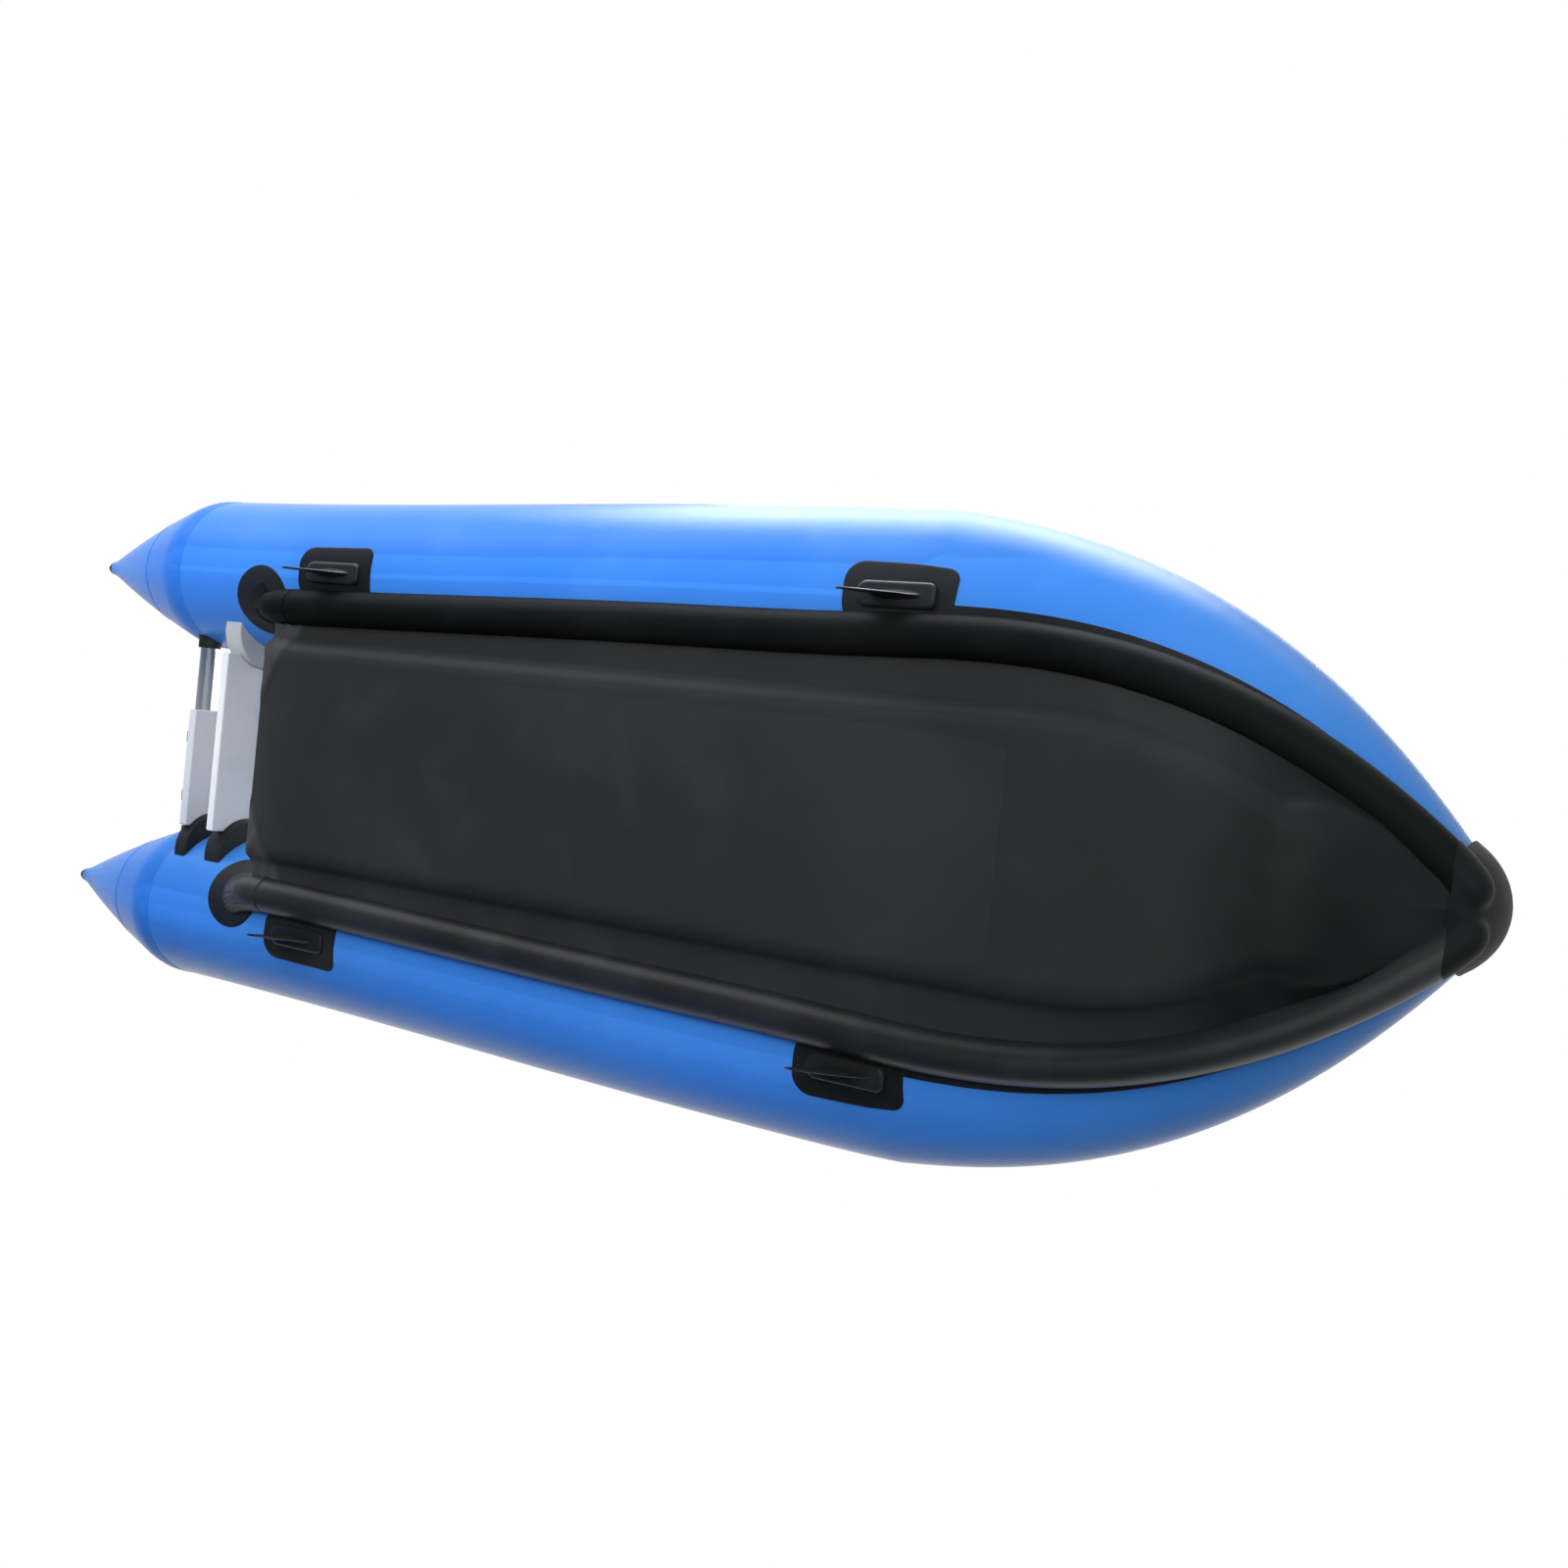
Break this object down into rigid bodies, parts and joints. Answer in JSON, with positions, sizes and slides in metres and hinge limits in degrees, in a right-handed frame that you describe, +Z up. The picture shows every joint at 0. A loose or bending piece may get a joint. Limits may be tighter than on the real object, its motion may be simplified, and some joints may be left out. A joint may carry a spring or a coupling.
{
  "type": "inflatable fishing kayak",
  "caption": "Open inflatable kayak: twin air tubes with conical sterns and a joined bow, flat air deck, swept fins underneath and a motor plate at the stern.",
  "frame": {"origin": "on the middle plane at half length, at the level of the fin tips", "axes": "+X towards the bow, +Y to port, +Z up"},
  "size_m": [3.2178, 1.118, 0.4492],
  "materials": {
    "blue_hull": "smooth coated fabric, soft gloss",
    "black_hull": "coated fabric, satin",
    "deck_grey": "coated fabric, fine grain",
    "moulded_black": "moulded, satin",
    "board_grey": "sheet, satin",
    "plate_grey": "sheet, satin",
    "steel": "polished",
    "pale_plastic": "moulded"
  },
  "bodies": {
    "hull": {"port_tube": "blue_hull", "starboard_tube": "blue_hull", "port_stern_cone": "blue_hull", "port_cone_tip_cap": "moulded_black", "starboard_stern_cone": "blue_hull", "starboard_cone_tip_cap": "moulded_black", "port_keel_tube": "black_hull", "starboard_keel_tube": "black_hull", "port_keel_end_patch": "black_hull", "starboard_keel_end_patch": "black_hull", "port_aft_fin_patch": "black_hull", "port_aft_fin": "moulded_black", "port_fore_fin_patch": "black_hull", "port_fore_fin": "moulded_black", "starboard_aft_fin_patch": "black_hull", "starboard_aft_fin": "moulded_black", "starboard_fore_fin_patch": "black_hull", "starboard_fore_fin": "moulded_black", "air_deck": "deck_grey", "bottom_skin": "black_hull", "nose_cap": "moulded_black", "port_board_pad": "moulded_black", "starboard_board_pad": "moulded_black", "port_plate_pad": "moulded_black", "stern_board": "board_grey", "motor_plate": "plate_grey", "cross_tube": "steel", "port_tube_socket": "moulded_black", "starboard_tube_socket": "moulded_black", "plate_clamp_1": "moulded_black", "plate_clamp_2": "moulded_black", "port_valve_body": "moulded_black", "starboard_valve_body": "moulded_black", "deck_valve_body": "moulded_black", "port_aft_ring_patch": "black_hull", "starboard_aft_ring_patch": "black_hull", "port_middle_ring_patch": "black_hull", "starboard_middle_ring_patch": "black_hull", "port_fore_ring_patch": "black_hull", "starboard_fore_ring_patch": "black_hull", "port_handle_patch": "black_hull", "port_handle_grip": "moulded_black", "starboard_handle_patch": "black_hull", "starboard_handle_grip": "moulded_black"},
    "port_plunger": {"port_valve_plunger": "pale_plastic"},
    "port_cap": {"port_valve_cap": "moulded_black"},
    "starboard_plunger": {"starboard_valve_plunger": "pale_plastic"},
    "starboard_cap": {"starboard_valve_cap": "moulded_black"},
    "deck_plunger": {"deck_valve_plunger": "pale_plastic"},
    "deck_cap": {"deck_valve_cap": "moulded_black"},
    "port_aft_ring": {"port_aft_d_ring": "steel"},
    "starboard_aft_ring": {"starboard_aft_d_ring": "steel"},
    "port_middle_ring": {"port_middle_d_ring": "steel"},
    "starboard_middle_ring": {"starboard_middle_d_ring": "steel"},
    "port_fore_ring": {"port_fore_d_ring": "steel"},
    "starboard_fore_ring": {"starboard_fore_d_ring": "steel"}
  },
  "joints": [
    {"name": "port_plunger_push", "type": "slide", "parent": "hull", "child": "port_plunger", "axis": [-0.0126, 0.6155, -0.788], "range_m": [0, 0.004], "stiffness_N_per_m": 250, "springref_m": -0.003},
    {"name": "port_cap_turn", "type": "hinge", "parent": "hull", "child": "port_cap", "pos_m": [-0.544, 0.27496, 0.36718], "axis": [0.0126, -0.6155, 0.788], "range_deg": [0, 90]},
    {"name": "starboard_plunger_push", "type": "slide", "parent": "hull", "child": "starboard_plunger", "axis": [-0.0126, -0.6155, -0.788], "range_m": [0, 0.004], "stiffness_N_per_m": 250, "springref_m": -0.003},
    {"name": "starboard_cap_turn", "type": "hinge", "parent": "hull", "child": "starboard_cap", "pos_m": [-0.544, -0.27496, 0.36718], "axis": [0.0126, 0.6155, 0.788], "range_deg": [0, 90]},
    {"name": "deck_plunger_push", "type": "slide", "parent": "hull", "child": "deck_plunger", "axis": [0, 0, -1], "range_m": [0, 0.004], "stiffness_N_per_m": 250, "springref_m": -0.003},
    {"name": "deck_cap_turn", "type": "hinge", "parent": "hull", "child": "deck_cap", "pos_m": [-0.7211, 0, 0.12996], "axis": [0, 0, 1], "range_deg": [0, 90]},
    {"name": "port_aft_ring_swing", "type": "hinge", "parent": "hull", "child": "port_aft_ring", "pos_m": [-0.34302, 0.24527, 0.34318], "axis": [-0.0142, 0.6155, 0.788], "range_deg": [-180, 0]},
    {"name": "starboard_aft_ring_swing", "type": "hinge", "parent": "hull", "child": "starboard_aft_ring", "pos_m": [-0.34302, -0.24527, 0.34318], "axis": [0.0142, 0.6155, -0.788], "range_deg": [-180, 0]},
    {"name": "port_middle_ring_swing", "type": "hinge", "parent": "hull", "child": "port_middle_ring", "pos_m": [0.33504, 0.25757, 0.34318], "axis": [-0.0049, 0.6156, 0.788], "range_deg": [-180, 0]},
    {"name": "starboard_middle_ring_swing", "type": "hinge", "parent": "hull", "child": "starboard_middle_ring", "pos_m": [0.33504, -0.25757, 0.34318], "axis": [0.0049, 0.6156, -0.788], "range_deg": [-180, 0]},
    {"name": "port_fore_ring_swing", "type": "hinge", "parent": "hull", "child": "port_fore_ring", "pos_m": [0.95261, 0.23173, 0.34047], "axis": [0.1326, 0.6036, 0.7862], "range_deg": [-180, 0]},
    {"name": "starboard_fore_ring_swing", "type": "hinge", "parent": "hull", "child": "starboard_fore_ring", "pos_m": [0.95261, -0.23173, 0.34047], "axis": [-0.1326, 0.6036, -0.7862], "range_deg": [-180, 0]}
  ]
}
